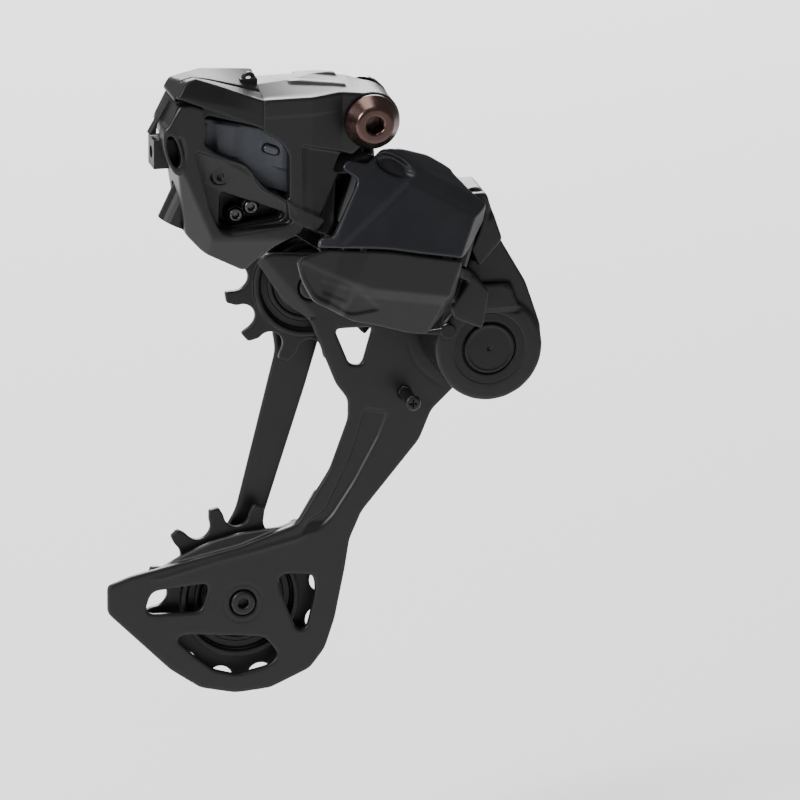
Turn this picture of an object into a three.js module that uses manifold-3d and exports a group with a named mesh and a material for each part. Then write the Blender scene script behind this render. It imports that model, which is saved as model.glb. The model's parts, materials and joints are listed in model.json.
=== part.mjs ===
// Rear bicycle derailleur: a motor-driven slant parallelogram that carries a sprung two-pulley chain cage.
// Millimetres. The origin is on the hanger bolt's axis, in the plane of the hanger's outer face.
// +X points to the front of the bicycle, +Y inboard to the wheel, +Z up.
import * as THREE from 'three';
import { mergeVertices } from 'three/addons/utils/BufferGeometryUtils.js';
import Module from 'manifold-3d';

const wasm = await Module();
wasm.setup();

// ---- Driving dimensions ----

const GAP = 0.3; // between pieces that rest on each other
const CHAIN_PITCH = 12.7;
const ROLLER_SEAT = 4.0; // radius of the hollow that a chain roller sits in
const CHAIN_PLANE = 30; // Y of the plane in which the chain runs

const HANGER_THREAD = 4.9; // radius, for an M10 thread
const AXLE_RADIUS = 5.6;
const BUSH_BORE = 5.7;
const BUSH_OUTER = 7.0;
const BASE_FRONT = -22;
const BASE_BACK = -2.4;
const HUB_FRONT = -18.4; // front of the base around the hanger bolt

const OUTER_PIN = new THREE.Vector3(-5, -13, -25); // outer link's pivot on the base
const INNER_PIN = new THREE.Vector3(-2.5, -1, -30.1); // inner link's pivot on the base
const PIVOT_AXIS = new THREE.Vector3(-0.361, -0.301, -0.883).normalize();
const LINK_LENGTH = 39.96;
const LINK_HEADING = new THREE.Vector3(35.9, 5.7, -16.6); // from the base pivots to the knuckle pivots
const LINK_SWING = [-24, 31]; // degrees, inboard and outboard
const PIN_RADIUS = 1.9;
const BARREL_RADIUS = 4;

const KNUCKLE_AXIS = { x: 40.6, z: -79.6 };
const KNUCKLE_RADIUS = 16.6;
const KNUCKLE_FRONT = -2;
const KNUCKLE_BACK = 21.6;

const GUIDE = { x: -9.4, z: -64, teeth: 11 };
const TENSION = { x: -31, z: -163.5, teeth: 13 };
const OUTER_PLATE = [22.4, 24.9];
const INNER_PLATE = [35, 37];
const PULLEY_BORE = 3.6;

// ---- Shape helpers ----

const CORNER_STEPS = 2; // straight pieces in a rounded corner

function signedVolume(geometry) {
  const flat = geometry.index ? geometry.toNonIndexed() : geometry;
  const place = flat.attributes.position;
  const [a, b, c] = [new THREE.Vector3(), new THREE.Vector3(), new THREE.Vector3()];
  let sum = 0;
  for (let i = 0; i < place.count; i += 3) {
    a.fromBufferAttribute(place, i);
    b.fromBufferAttribute(place, i + 1);
    c.fromBufferAttribute(place, i + 2);
    sum += a.dot(b.cross(c));
  }
  return sum / 6;
}

// A geometry with shared vertices, only its positions, and its faces pointing out.
function closed(geometry) {
  const bare = geometry.clone();
  bare.deleteAttribute('normal');
  bare.deleteAttribute('uv');
  const merged = mergeVertices(bare, 1e-4);
  if (signedVolume(merged) < 0) {
    const order = merged.index.array;
    for (let i = 0; i < order.length; i += 3) {
      [order[i], order[i + 1]] = [order[i + 1], order[i]];
    }
  }
  return merged;
}

function toSolid(geometry) {
  const body = closed(geometry);
  const vertProperties = new Float32Array(body.attributes.position.array);
  const triVerts = new Uint32Array(body.index.array);
  return new wasm.Manifold(new wasm.Mesh({ numProp: 3, vertProperties, triVerts }));
}

function toGeometry(solid) {
  const { vertProperties, triVerts } = solid.getMesh();
  const geometry = new THREE.BufferGeometry();
  geometry.setAttribute('position', new THREE.BufferAttribute(vertProperties, 3));
  geometry.setIndex(new THREE.BufferAttribute(triVerts, 1));
  return geometry;
}

function join(...geometries) {
  return toGeometry(geometries.map(toSolid).reduce((all, next) => all.add(next)));
}

function cut(geometry, ...tools) {
  return toGeometry(tools.map(toSolid).reduce((rest, tool) => rest.subtract(tool), toSolid(geometry)));
}

// A closed outline whose corners are rounded by up to `radius`.
function roundedShape(points, radius = 0) {
  const corners = points.map(([x, y]) => new THREE.Vector2(x, y));
  const shape = new THREE.Shape();
  corners.forEach((corner, i) => {
    const before = corners[(i + corners.length - 1) % corners.length];
    const after = corners[(i + 1) % corners.length];
    const start = corner.clone().lerp(before, Math.min(0.45, radius / corner.distanceTo(before)));
    const end = corner.clone().lerp(after, Math.min(0.45, radius / corner.distanceTo(after)));
    if (i === 0) {
      shape.moveTo(start.x, start.y);
    } else {
      shape.lineTo(start.x, start.y);
    }
    if (radius > 0) {
      shape.quadraticCurveTo(corner.x, corner.y, end.x, end.y);
    }
  });
  return shape;
}

// An outline in X and Z, drawn out along Y from `near` to `far`.
function slab(points, near, far, radius = 0) {
  const shape = points instanceof THREE.Shape ? points : roundedShape(points, radius);
  const depth = far - near;
  return new THREE.ExtrudeGeometry(shape, { depth, bevelEnabled: false, curveSegments: CORNER_STEPS })
    .rotateX(Math.PI / 2)
    .translate(0, far, 0);
}

// An outline in X and Y, drawn out along Z from `low` to `high`.
function prism(points, low, high, radius = 0) {
  const shape = points instanceof THREE.Shape ? points : roundedShape(points, radius);
  const depth = high - low;
  return new THREE.ExtrudeGeometry(shape, { depth, bevelEnabled: false, curveSegments: CORNER_STEPS })
    .translate(0, 0, low);
}

// A profile of [radius, y] pairs turned about Y; it closes on itself when no point is on the axis.
function turned(profile, segments = 20) {
  const onAxis = profile[0][0] === 0;
  const points = (onAxis ? profile : [...profile, profile[0]]).map(([r, y]) => new THREE.Vector2(r, y));
  return new THREE.LatheGeometry(points, segments);
}

const disc = (radius, near, far, segments) =>
  turned([[0, near], [radius, near], [radius, far], [0, far]], segments);

const ring = (inner, outer, near, far, segments) =>
  turned([[inner, near], [outer, near], [outer, far], [inner, far]], segments);

// A round rod between two points.
function rod(radius, from, to, segments = 16) {
  const way = to.clone().sub(from);
  const turn = new THREE.Quaternion().setFromUnitVectors(new THREE.Vector3(0, 1, 0), way.clone().normalize());
  return disc(radius, 0, way.length(), segments).applyQuaternion(turn).translate(from.x, from.y, from.z);
}

function hexSocket(acrossFlats, near, far) {
  const corner = acrossFlats / Math.sqrt(3);
  const points = [0, 1, 2, 3, 4, 5].map((i) => {
    const angle = (i * Math.PI) / 3;
    return [corner * Math.cos(angle), corner * Math.sin(angle)];
  });
  return slab(points, near, far);
}

// ---- The assembly ----

const FINISH = {
  blackAnodised: { color: 0x1b1b1d, roughness: 0.5, metalness: 0.55 },
  blackPlastic: { color: 0x161617, roughness: 0.6, metalness: 0.0 },
  linkPaint: { color: 0x2b2b31, roughness: 0.42, metalness: 0.35 },
  greyCasting: { color: 0x54565c, roughness: 0.45, metalness: 0.6 },
  steel: { color: 0x8d8c8a, roughness: 0.35, metalness: 1.0 },
  copperSteel: { color: 0x8a5a55, roughness: 0.3, metalness: 0.9 },
  bronze: { color: 0x8c6a3a, roughness: 0.4, metalness: 0.9 },
  board: { color: 0x1d4a30, roughness: 0.6, metalness: 0.1 },
  rubber: { color: 0x111111, roughness: 0.85, metalness: 0.0 },
  lens: { color: 0x3c3f44, roughness: 0.2, metalness: 0.0 },
};

const derailleur = new THREE.Group();

function place(name, geometry, finish, parent = derailleur, position = [0, 0, 0]) {
  const mesh = new THREE.Mesh(closed(geometry), new THREE.MeshStandardMaterial(FINISH[finish]));
  mesh.name = name;
  mesh.position.set(...position);
  parent.add(mesh);
  return mesh;
}

// ---- Link frames: x along the link, y outboard, z down the pivot axis ----

const linkAlong = LINK_HEADING.clone().addScaledVector(PIVOT_AXIS, -LINK_HEADING.dot(PIVOT_AXIS)).normalize();
const linkOut = PIVOT_AXIS.clone().cross(linkAlong);

function pivotFrame(origin, swingDegrees = 0) {
  const turn = (swingDegrees * Math.PI) / 180;
  const basis = new THREE.Matrix4().makeBasis(linkAlong, linkOut, PIVOT_AXIS);
  return basis.setPosition(origin).multiply(new THREE.Matrix4().makeRotationZ(turn));
}

const LINK_END = linkAlong.clone().multiplyScalar(LINK_LENGTH);
const OUTER_PIN_KNUCKLE = OUTER_PIN.clone().add(LINK_END);
const INNER_PIN_KNUCKLE = INNER_PIN.clone().add(LINK_END);

// A pivot frame's shape, in the derailleur's own frame.
const atPivot = (geometry, origin, swing) => geometry.clone().applyMatrix4(pivotFrame(origin, swing));

const onPivot = (radius, low, high, segments = 14) =>
  disc(radius, low, high, segments).rotateX(Math.PI / 2);

// ---- Hanger bolt and what stays with the hanger ----

function hangerBolt() {
  const socket = hexSocket(5, -25, -18);
  const shape = turned([
    [0, -24], [5.6, -24], [6.1, -23.6], [8.3, -20.4], [8.5, -19.9], [8.5, -18.9], [AXLE_RADIUS, -18.9],
    [AXLE_RADIUS, -2.6], [AXLE_RADIUS - 0.3, 0], [HANGER_THREAD, 0.2], [HANGER_THREAD, 8.4],
    [HANGER_THREAD - 0.9, 9.3], [0, 9.3],
  ]);
  return cut(shape, socket);
}

// The stop plate's ear takes the push of the angle screw.
const STOP_SCREW_TIP = new THREE.Vector3(-14.2, -1.2, -3.2);
const STOP_SCREW_WAY = new THREE.Vector3(0.26, 0, -0.966).normalize();

function stopPlate() {
  const touch = STOP_SCREW_TIP.clone().addScaledVector(STOP_SCREW_WAY, GAP);
  const across = [-STOP_SCREW_WAY.z, STOP_SCREW_WAY.x];
  const ear = [
    [touch.x + across[0] * 5, touch.z + across[1] * 5],
    [touch.x - across[0] * 2.6, touch.z - across[1] * 2.6],
    [-16.6, -7],
    [-8, -6],
    [0, -1],
  ];
  const plate = join(disc(9.4, -2.1, 0), slab(ear, -2.1, 0));
  return cut(plate, disc(AXLE_RADIUS + 0.15, -3, 1));
}

function snapRing() {
  const opening = slab([[-1.6, 0], [1.6, 0], [2.6, 12], [-2.6, 12]], -19, 0);
  return cut(ring(AXLE_RADIUS + 0.1, AXLE_RADIUS + 1.9, -3.6, -2.7), opening);
}

place('hanger_bolt', hangerBolt(), 'copperSteel');
place('angle_stop_plate', stopPlate(), 'steel');
place('axle_snap_ring', snapRing(), 'steel');

// ---- Base: the casting that hangs on the bolt and holds the motor ----

const BASE_OUTLINE = [
  [5.3, 7.6], [-10.5, 9.5], [-34.2, 9.5], [-35.2, 3.1], [-59.9, 10.4], [-64.5, 1.3], [-61, -8.9],
  [-57.2, -33], [-52.5, -38.1], [-39.1, -45.7], [-35.4, -41.5], [-29.8, -36.5], [-21.9, -32.2],
  [-12.3, -35.7], [-9, -12.4], [-4, -9],
];
const UPPER_WINDOW = [
  [-51.3, 5], [-35.5, 0.4], [-29, -4], [-26.3, -8.2], [-26.3, -22.5], [-33.3, -18.4], [-36.4, -14.6],
  [-39.1, -10.9], [-48.9, -6], [-52.6, -3],
];
const LOWER_WINDOW = [[-46.9, -19.3], [-27.2, -26.9], [-28, -29.4], [-44.7, -31.2], [-47.4, -29.6]];
const HOUSING_BAY = [
  [-55.5, 5], [-35.5, 0.4], [-24, -3.2], [-22.6, -22.6], [-33.3, -19.6], [-38, -14.5], [-50, -9.5], [-57, -6],
];
const MOTOR_FOOT = new THREE.Vector3(-59.6, -8.6, -31);
const MOTOR_WAY = new THREE.Vector3(0.43, 0, 0.9).normalize();
const MOTOR_RADIUS = 5;
const MOTOR_LENGTH = 25;
const MOTOR_HEAD = MOTOR_FOOT.clone().addScaledVector(MOTOR_WAY, MOTOR_LENGTH);
const HOUSING_FRONT = -17;
const MODE_BUTTON = { x: -31, z: -7.3, width: 2.4, tilt: 0.35 };
const PIN_HALF = 13.4; // half the length of the outer link's pin in the base
const KNUCKLE_PIN_HALF = 12.4;
const INNER_PIN_HALF = 11.4;
const LUG_NEAR = 9.4; // the outer link's lugs start here, measured along the pivot from its middle
const INNER_LUG_NEAR = 7.4;
const KNUCKLE_LUG_RADIUS = 3.8;
const SWITCH = { x: 27.2, z: -72.5 }; // axis of the clutch switch

function screw(headRadius, headHeight, shankRadius, length, socketFlats) {
  const shape = turned([
    [0, 0], [headRadius - 0.3, 0], [headRadius, 0.3], [headRadius, headHeight], [shankRadius, headHeight],
    [shankRadius, length - 0.4], [shankRadius - 0.4, length], [0, length],
  ], 16);
  return cut(shape, hexSocket(socketFlats, -1, headHeight * 0.7));
}

const LIMIT_SCREWS = { inboard_limit_screw: [-41.9, -27.4], outboard_limit_screw: [-37.1, -25.2] };
const LIMIT_SCREW_HEAD = 2.1;
const POCKET_FLOOR = -17;
const PORT = { x: [-67, -58.6], y: [-16, -8], z: [-11.6, -2.6] };

function wirePortBlock(grow = 0) {
  const [x, y, z] = [PORT.x, PORT.y, PORT.z].map(([low, high]) => [low - grow, high + grow]);
  return new THREE.BoxGeometry(x[1] - x[0], y[1] - y[0], z[1] - z[0])
    .translate((x[0] + x[1]) / 2, (y[0] + y[1]) / 2, (z[0] + z[1]) / 2);
}

const turnedBy = ([x, y], degrees) => {
  const angle = (degrees * Math.PI) / 180;
  return [x * Math.cos(angle) - y * Math.sin(angle), x * Math.sin(angle) + y * Math.cos(angle)];
};
const SWING_STEPS = 4;
const REACH = 26; // how far from a pivot the room for a link is cut

// One point at each stage of a swing from `first` to `last` degrees.
function swungPoint(point, first, last) {
  const share = (last - first) / SWING_STEPS;
  return Array.from({ length: SWING_STEPS + 1 }, (_, i) => turnedBy(point, first + share * i));
}

// The fan that a link's web sweeps about a pivot; `side` is 1 where the link runs along +X and -1 along -X.
function webRoom(side, back, front, low, high) {
  const [inward, outward] = [LINK_SWING[0] - 1.5, LINK_SWING[1] + 1.5];
  const [first, last] = side > 0 ? [inward, outward] : [outward, inward];
  const fan = [
    turnedBy([0, -back], first), turnedBy([side * REACH, -back], first),
    ...swungPoint([side * REACH, 0], first, last).slice(1, -1),
    turnedBy([side * REACH, front], last), turnedBy([0, front], last),
  ];
  return join(onPivot(BARREL_RADIUS + 0.5, low, high), prism(fan, low, high));
}

// The room that a cover plate sweeps: `overhang` is how far it passes the pivot, `inner` its nearest face.
function coverRoom(overhang, inner, low, high) {
  const [inward, outward] = [LINK_SWING[0] - 1.5, LINK_SWING[1] + 1.5];
  const [first, last] = overhang < 0 ? [inward, outward] : [outward, inward];
  const away = -Math.sign(overhang) * 60;
  const front = COVER_FRONT + 0.5;
  return prism([
    turnedBy([away, inner], first),
    ...swungPoint([0, inner], first, last),
    turnedBy([overhang, inner], last),
    ...swungPoint([overhang, front], last, first),
    turnedBy([overhang, 40], first),
    turnedBy([away, 40], first),
  ], low, high);
}

// Cover outlines run along the link and down the pivot axis.
const COVER_BACK = 5.6;
const COVER_FRONT = 7.6;
const COVER_OUTLINE = [
  [-9, -6], [-8, -9.6], [-1.2, -10], [2.1, -16.1], [5.3, -17.4], [10.9, -17.8], [29.6, -16],
  [34.5, -13.6], [41.8, -10.9], [43.1, -5.9], [39.5, 5.8], [37.9, 7.6], [22.8, 10.8], [12.9, 12.7],
  [-6.2, 18], [-6.2, 15], [-2.7, -4.7],
];
const LOWER_COVER_OUTLINE = [
  [38.7, 8.2], [22.8, 11.4], [12.9, 13.3], [-6.2, 18.7], [-14.5, 24.5], [-9.4, 29.9], [-2.6, 34.5],
  [14.5, 35.6], [22.9, 34.3], [35, 33.3], [41.1, 31.6], [43, 27.4], [41.4, 17.1],
];
const LOWER_COVER_LEAN = 0.36; // the lower cover runs back under the link by this much for each unit down
const SEAM_FALL = 0.24; // the seam between the covers rises towards the knuckle by this much
const SEAM_START = 17.1;

const faceOutboard = new THREE.Matrix4().makeBasis(
  new THREE.Vector3(1, 0, 0), new THREE.Vector3(0, 0, 1), new THREE.Vector3(0, 1, 0),
);

// Leans a shape drawn in X and Y back about the seam line.
const leanBack = new THREE.Matrix4().set(
  1, 0, 0, 0,
  0, 1, 0, 0,
  -LOWER_COVER_LEAN * SEAM_FALL, -LOWER_COVER_LEAN, 1, LOWER_COVER_LEAN * SEAM_START,
  0, 0, 0, 1,
);

function upperCover(back, front) {
  const face = prism(COVER_OUTLINE, back, front, 1.2);
  const rim = prism([[9, -17.3], [29, -15.6], [29, -13.9], [9, -14.3]], -1, back + 0.2);
  return join(face, rim).applyMatrix4(faceOutboard);
}

const lowerCover = (back, front) =>
  prism(LOWER_COVER_OUTLINE, back, front, 1.2).applyMatrix4(leanBack).applyMatrix4(faceOutboard);

const OUTER_ROOM = [0.1 - LUG_NEAR, LUG_NEAR - 0.1];
const INNER_ROOM = [0.1 - INNER_LUG_NEAR, INNER_LUG_NEAR - 0.1];

const BASE_LUG_RADIUS = 4.3;

function limitScrewHole([x, z]) {
  const headRoom = LIMIT_SCREW_HEAD + GAP;
  const [seat, end] = [POCKET_FLOOR + 2, POCKET_FLOOR + 10.4];
  return turned([[0, -20], [headRoom, -20], [headRoom, seat], [1.5, seat], [1.5, end], [0, end]], 16)
    .translate(x, 0, z);
}

function baseBody() {
  const hub = disc(9, HUB_FRONT, BASE_BACK, 32);
  const arms = [
    atPivot(onPivot(BASE_LUG_RADIUS, -PIN_HALF, -LUG_NEAR), OUTER_PIN),
    atPivot(onPivot(BASE_LUG_RADIUS, LUG_NEAR, PIN_HALF), OUTER_PIN),
    atPivot(onPivot(BASE_LUG_RADIUS, -INNER_PIN_HALF, -INNER_LUG_NEAR), INNER_PIN),
    atPivot(onPivot(BASE_LUG_RADIUS, INNER_LUG_NEAR, INNER_PIN_HALF), INNER_PIN),
  ];
  const frontWeb = slab([[-12, -6], [2, -4], [4, -17], [-1, -19], [-12, -17]], -14, BASE_BACK);
  const upperWeb = slab([[-2, -12], [4, -11], [5, -22], [-2, -24.5], [-13, -21], [-12, -17]], -8, 2.6);
  const lowerWeb = slab([
    [-24, -30], [-12.5, -31], [-3, -36], [-2, -43], [-12, -43], [-24, -34.5],
  ], -19, 1.4);
  const lugFrom = STOP_SCREW_TIP.clone().addScaledVector(STOP_SCREW_WAY, -11);
  const screwLug = rod(3.5, lugFrom, STOP_SCREW_TIP.clone().addScaledVector(STOP_SCREW_WAY, -4));
  const whole = join(
    slab(BASE_OUTLINE, BASE_FRONT, BASE_BACK, 1.2), hub, frontWeb, upperWeb, lowerWeb, ...arms, screwLug,
  );
  const slopedFront = prism([
    [-19, -23], [14, -23], [14, HUB_FRONT], [-9, HUB_FRONT], [-19, BASE_FRONT],
  ], -60, 30);
  const screwHole = rod(2.15, STOP_SCREW_TIP.clone().addScaledVector(STOP_SCREW_WAY, -20), STOP_SCREW_TIP);
  return cut(
    whole,
    slopedFront,
    slab(UPPER_WINDOW, BASE_FRONT - 1, -15, 1),
    slab(LOWER_WINDOW, BASE_FRONT - 1, POCKET_FLOOR, 1),
    slab(HOUSING_BAY, HOUSING_FRONT - 0.4, BASE_BACK + 1),
    disc(2, -23, -15, 16).scale(1, 1, 2.6).translate(-60.4, 0, -5.6),
    rod(MOTOR_RADIUS + GAP, MOTOR_FOOT.clone().addScaledVector(MOTOR_WAY, -6), MOTOR_HEAD),
    wirePortBlock(GAP),
    disc(BUSH_OUTER + 0.15, -30, 5),
    disc(9.8, BASE_BACK - 1.6, 5),
    atPivot(onPivot(PIN_RADIUS + 0.1, -30, 30, 16), OUTER_PIN),
    atPivot(onPivot(PIN_RADIUS + 0.1, -30, 30, 16), INNER_PIN),
    atPivot(webRoom(1, 3, 4, ...OUTER_ROOM), OUTER_PIN),
    atPivot(webRoom(1, 2.4, 2.4, ...INNER_ROOM), INNER_PIN),
    atPivot(coverRoom(-6.8, COVER_BACK - 0.5, -18.4, 19.4), OUTER_PIN),
    atPivot(coverRoom(-9.8, COVER_BACK - 0.5, -10.8, -5), OUTER_PIN),
    atPivot(webRoom(1, 1.4, 6, -17.8, -13.5), OUTER_PIN),
    screwHole,
    ...Object.values(LIMIT_SCREWS).map(limitScrewHole),
  );
}

// An outline drawn in by about `margin` all round, towards its middle.
function drawnIn(points, margin) {
  const middle = [0, 1].map((axis) => points.reduce((sum, point) => sum + point[axis], 0) / points.length);
  return points.map(([x, y]) => {
    const away = Math.hypot(x - middle[0], y - middle[1]);
    const keep = (away - margin) / away;
    return [middle[0] + (x - middle[0]) * keep, middle[1] + (y - middle[1]) * keep];
  });
}

function motorHousing() {
  const motor = rod(MOTOR_RADIUS + GAP, MOTOR_FOOT, MOTOR_HEAD);
  const shell = slab(drawnIn(HOUSING_BAY, 0.6), HOUSING_FRONT, -5.4);
  const buttonWell = modeButton(0.25).translate(MODE_BUTTON.x, HOUSING_FRONT + 1.3, MODE_BUTTON.z);
  return cut(shell, slab(drawnIn(HOUSING_BAY, 3), HOUSING_FRONT + 1.9, -5), motor, buttonWell);
}

const baseTopCover = () =>
  slab([[-59.4, 10.8], [-55, 17.3], [-34.6, 9.8], [-35.4, 3.6]], BASE_FRONT, BASE_BACK - 0.6);

const circuitBoard = () =>
  slab([[-35, -3], [-27, -6.5], [-26.6, -17], [-33, -14.5], [-35, -11]], -14.6, -13.6);

const cableGuard = () => slab([[-61.4, 8.6], [-67.4, -1.9], [-65.4, -1.9], [-65, 1.4]], -12, -8);

function rearCover() {
  return cut(
    slab(drawnIn(HOUSING_BAY, 0.6), -5, -3),
    rod(MOTOR_RADIUS + GAP, MOTOR_FOOT, MOTOR_HEAD),
  );
}

function wirePort() {
  const middle = [(PORT.y[0] + PORT.y[1]) / 2, (PORT.z[0] + PORT.z[1]) / 2];
  const [outside, inside] = [-1, 5].map((depth) => new THREE.Vector3(PORT.x[0] + depth, ...middle));
  return cut(wirePortBlock(), rod(1.9, outside, inside));
}

// A toothed wheel's outline: `height` is how far the teeth stand out of the root circle.
function gearOutline(teeth, root, height) {
  const points = [];
  for (let i = 0; i < teeth; i += 1) {
    for (const [part, radius] of [[0.05, root], [0.3, root + height], [0.55, root + height], [0.8, root]]) {
      const angle = ((i + part) / teeth) * 2 * Math.PI;
      points.push([radius * Math.cos(angle), radius * Math.sin(angle)]);
    }
  }
  return points;
}

const GEAR_CENTRE = { x: -40.7, z: -5.6 };
const WORM_START = MOTOR_HEAD.clone().addScaledVector(MOTOR_WAY, 1.2);

function reductionGear() {
  return cut(slab(gearOutline(16, 3, 0.7), -1.5, 1.5), disc(1.1, -3, 3, 10));
}

function driveWorm() {
  const profile = [[0, 0]];
  for (let turn = 0; turn < 5; turn += 1) {
    const start = 0.4 + turn * 1.5;
    profile.push([1.4, start], [2, start + 0.5], [1.4, start + 1]);
  }
  profile.push([1.4, 7.8], [0, 7.8]);
  const turn = new THREE.Quaternion().setFromUnitVectors(new THREE.Vector3(0, 1, 0), MOTOR_WAY);
  return turned(profile, 10).applyQuaternion(turn);
}

function modeButton(grow = 0) {
  const shape = new THREE.Shape();
  const end = MODE_BUTTON.width / 2 + grow;
  shape.absarc(-1.2, 0, end, Math.PI / 2, 1.5 * Math.PI);
  shape.absarc(1.2, 0, end, -Math.PI / 2, Math.PI / 2);
  return slab(shape, -1.4, 0).rotateY(MODE_BUTTON.tilt);
}

const angleScrew = () => cut(
  rod(2, STOP_SCREW_TIP.clone().addScaledVector(STOP_SCREW_WAY, -15), STOP_SCREW_TIP, 16),
  hexSocket(2, -1, 3)
    .applyQuaternion(new THREE.Quaternion().setFromUnitVectors(new THREE.Vector3(0, 1, 0), STOP_SCREW_WAY))
    .translate(...STOP_SCREW_TIP.clone().addScaledVector(STOP_SCREW_WAY, -15)),
);

const limitScrew = () => screw(LIMIT_SCREW_HEAD, 2, 1.3, 10, 1.5);

place('axle_bush', ring(BUSH_BORE, BUSH_OUTER, HUB_FRONT + 0.1, -4.2), 'bronze');
place('base_body', baseBody(), 'blackAnodised');
place('base_top_cover', baseTopCover(), 'blackPlastic');
place('base_rear_cover', rearCover(), 'blackPlastic');
place('motor_housing', motorHousing(), 'greyCasting');
place('circuit_board', circuitBoard(), 'board');
place('motor_can', rod(MOTOR_RADIUS, MOTOR_FOOT, MOTOR_HEAD, 24), 'blackAnodised');
place('drive_worm', driveWorm(), 'steel', derailleur, WORM_START.toArray());
place('reduction_gear', reductionGear(), 'bronze', derailleur, [GEAR_CENTRE.x, MOTOR_FOOT.y, GEAR_CENTRE.z]);
place('mode_button', modeButton(), 'lens', derailleur, [MODE_BUTTON.x, HOUSING_FRONT + 0.5, MODE_BUTTON.z]);
place('wire_port', wirePort(), 'blackPlastic');
place('cable_guard', cableGuard(), 'blackPlastic');
for (const [name, [x, z]] of Object.entries(LIMIT_SCREWS)) {
  place(name, limitScrew(), 'steel', derailleur, [x, POCKET_FLOOR - 0.3, z]);
}
place('angle_screw', angleScrew(), 'steel');

// ---- Parallelogram ----

const pivotPin = (half) => onPivot(PIN_RADIUS, -half, half, 16);

function linkGroup(origin) {
  const group = new THREE.Group();
  group.applyMatrix4(pivotFrame(origin));
  derailleur.add(group);
  return group;
}

function link(half, thickness, offset, boreRadius) {
  const barrel = onPivot(BARREL_RADIUS, -half, half);
  const web = prism([
    [1, offset - thickness / 2], [LINK_LENGTH - 1, offset - thickness / 2],
    [LINK_LENGTH - 1, offset + thickness / 2], [1, offset + thickness / 2],
  ], -half + 0.2, half - 0.2);
  const bore = onPivot(boreRadius, -30, 30, 16);
  const far = (geometry) => geometry.clone().translate(LINK_LENGTH, 0, 0);
  return [join(barrel, far(barrel), web), [bore, far(bore)]];
}

// The upper cover stands on two posts, and a screw from the inboard side goes through each.
const POSTS = { cover_screw_rear: 10, cover_screw_front: 30 };
const POST_DOWN = -2;
const LINK_WEB = { thickness: 5, offset: 0.6 };
const SCREW_SEAT = LINK_WEB.offset - LINK_WEB.thickness / 2 + 1.5; // underside of the screw's head

function outerLink() {
  const [body, bores] = link(LUG_NEAR - 0.4, LINK_WEB.thickness, LINK_WEB.offset, PIN_RADIUS + 0.1);
  const posts = Object.values(POSTS).map((along) =>
    disc(2.6, 0, COVER_BACK - GAP, 16).translate(along, 0, POST_DOWN));
  const screwHoles = Object.values(POSTS).map((along) =>
    join(disc(1.35, -9, 9, 16), disc(2.5, -9, SCREW_SEAT, 16)).translate(along, 0, POST_DOWN));
  return cut(join(body, ...posts), ...bores, ...screwHoles);
}

const coverScrew = () => screw(2.2, 1.3, 1.1, 6, 1.3);

const outerLinkGroup = linkGroup(OUTER_PIN);
const innerLinkGroup = linkGroup(INNER_PIN);
place('outer_base_pin', pivotPin(PIN_HALF), 'steel', outerLinkGroup);
place('inner_base_pin', pivotPin(INNER_PIN_HALF), 'steel', innerLinkGroup);
place('outer_link', outerLink(), 'blackAnodised', outerLinkGroup);
place('outer_link_cover', upperCover(COVER_BACK, COVER_FRONT), 'linkPaint', outerLinkGroup);
place('outer_link_lower_cover', lowerCover(COVER_BACK, COVER_FRONT), 'blackPlastic', outerLinkGroup);
const [innerLinkBody, innerLinkBores] = link(INNER_LUG_NEAR - 0.4, 3.4, 0, PIN_RADIUS + 0.1);
for (const [name, along] of Object.entries(POSTS)) {
  place(name, coverScrew(), 'steel', outerLinkGroup, [along, SCREW_SEAT - 1.6, POST_DOWN]);
}
place('inner_link', cut(innerLinkBody, ...innerLinkBores), 'blackAnodised', innerLinkGroup);
place('outer_knuckle_pin', pivotPin(KNUCKLE_PIN_HALF), 'steel', outerLinkGroup, [LINK_LENGTH, 0, 0]);
place('inner_knuckle_pin', pivotPin(INNER_PIN_HALF), 'steel', innerLinkGroup, [LINK_LENGTH, 0, 0]);

// ---- Knuckle: the housing at the parallelogram's free end, with the cage spring and the clutch ----

const CAP_RADIUS = 10.6;
const SPRING_ROOM = 13.2;

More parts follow.
